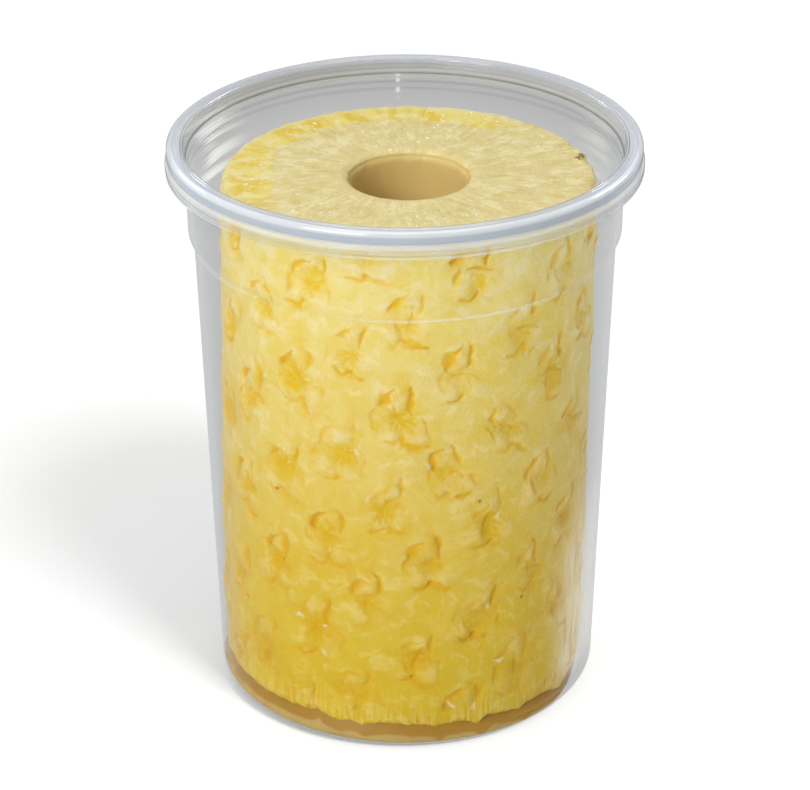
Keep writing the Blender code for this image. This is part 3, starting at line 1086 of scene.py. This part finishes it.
BACKDROP = rgb(192, 193, 193)
WALL_COLOUR = rgb(246, 247, 248)
FLOOR_REACH = 3.0
FLOOR_CELLS = 12


def floor_material():
    """White table, lit a little from within. The plastic shows an even grey backdrop instead."""
    g = new_material("studio_floor")
    place = g.place()
    paper = g.blend(g.noise(place, 0.05), rgb(248, 248, 248), rgb(251, 251, 251))
    table = g.shader("BsdfDiffuse", {"Color": paper})
    # Painted light: the glow is bluer and less red close round the cup, which cools the shadow there.
    near = g.share(flat_place(g, place)[0], 0.16, 0.04)
    glow = g.blend(near, (0.235, 0.238, 0.240, 1.0), (0.200, 0.237, 0.290, 1.0))
    lit = g.shader("AddShader", {0: table, 1: g.shader("Emission", {"Color": glow})})
    backdrop = g.shader("Emission", {"Color": BACKDROP})
    return finished(g, g.mix(g.through_plastic(), lit, backdrop))


def make_floor():
    steps = np.linspace(-FLOOR_REACH, FLOOR_REACH, FLOOR_CELLS + 1)
    points = [(x, y, 0.0) for y in steps for x in steps]
    row = FLOOR_CELLS + 1
    corners = [y * row + x for y in range(FLOOR_CELLS) for x in range(FLOOR_CELLS)]
    faces = [(corner, corner + 1, corner + row + 1, corner + row) for corner in corners]
    floor = mesh_object("studio_floor", points, faces, floor_material())
    floor.visible_glossy = False
    return floor


def area_light(name, place, target, size, power, lit):
    """A lamp that reaches the lit objects only. Everything still casts its shadow."""
    lamp = bpy.data.lights.new(name, "AREA")
    lamp.shape = "RECTANGLE"
    lamp.size, lamp.size_y = size
    lamp.energy = power
    obj = add_object(name, lamp)
    obj.location = place
    obj.rotation_euler = (Vector(target) - Vector(place)).to_track_quat("-Z", "Y").to_euler()
    group = bpy.data.collections.new(name + "_lit")
    for receiver in lit:
        group.objects.link(receiver)
    obj.light_linking.receiver_collection = group


def make_lights(floor, pieces):
    cup = pieces[:1]
    foot, middle, rim = ((0.0, 0.0, height) for height in (0.0, 0.07, 0.14))
    area_light("key_light", (-0.53, -0.76, 0.75), middle, (0.5, 0.5), 6.2, pieces)
    area_light("high_light", (0.00, 0.10, 1.2), middle, (0.7, 0.7), 4.6, pieces)
    area_light("right_light", (0.60, 0.45, 0.60), rim, (0.3, 0.3), 3.0, cup)
    area_light("left_light", (-0.60, 0.55, 0.60), rim, (0.3, 0.2), 2.0, cup)
    area_light("spark_light", (0.03, -0.90, 1.20), rim, (0.05, 0.05), 0.8, cup)
    area_light("shadow_light", (1.157, -1.542, 2.297), foot, (0.70, 0.70), 37.0, [floor])
    area_light("contact_light", (0.0, 0.0, 1.6), foot, (3.0, 3.0), 13.0, [floor])


def sky(g, toward, dark, bright):
    """A sky from the dark colour, at the directions furthest from this one, to the bright one."""
    dot = g.vector("DOT_PRODUCT", g.add("TexCoord").outputs["Generated"], toward)
    ramp = g.add("MapRange", {"Value": dot, "From Min": -0.5})
    return g.blend(ramp.outputs["Result"], dark, bright)


def make_world():
    """Soft light from overhead and the left. Gloss reflects a bright back and a dark front. The
    camera sees a pale wall, and the grey backdrop behind the plastic."""
    world = bpy.data.worlds.new("studio")
    bpy.context.scene.world = world
    g = Graph(world)
    path = g.add("LightPath").outputs
    soft = sky(g, (-0.25, 0.0, 1.0), rgb(95, 96, 98), rgb(178, 178, 178))
    glossy = sky(g, (0.0, 0.92, 0.4), rgb(30, 31, 32), rgb(250, 252, 255))
    light = g.blend(path["Is Glossy Ray"], soft, glossy)
    light = g.blend(path["Is Camera Ray"], light, WALL_COLOUR)
    light = g.blend(g.through_plastic(), light, BACKDROP)
    g.add("OutputWorld", {"Surface": g.shader("Background", {"Color": light})})


CAMERA_PLACE = (-0.0002, -0.8188, 0.4785)
CAMERA_PITCH = math.radians(63.815)
CAMERA_ROLL = math.radians(-0.25)
CAMERA_LENS = 160.0


def make_camera():
    lens = bpy.data.cameras.new("camera")
    lens.lens = CAMERA_LENS
    lens.sensor_width = 36.0
    lens.clip_start = 0.05
    camera = add_object("camera", lens)
    turn = Matrix.Rotation(CAMERA_PITCH, 4, "X") @ Matrix.Rotation(CAMERA_ROLL, 4, "Z")
    camera.matrix_world = Matrix.Translation(CAMERA_PLACE) @ turn
    bpy.context.scene.camera = camera


def set_up_view():
    scene = bpy.context.scene
    scene.view_settings.view_transform = "Standard"
    cycles = scene.cycles
    cycles.use_denoising = True
    cycles.use_adaptive_sampling = True
    cycles.adaptive_threshold = 0.04
    cycles.transparent_max_bounces = 24
    cycles.max_bounces = 4
    cycles.diffuse_bounces = 2
    cycles.glossy_bounces = 1


def main():
    pieces = [
        make_cup(plastic_material()),
        make_pineapple(flesh_material()),
        make_juice(juice_material()),
    ]
    make_lights(make_floor(), pieces)
    make_world()
    make_camera()
    set_up_view()


main()
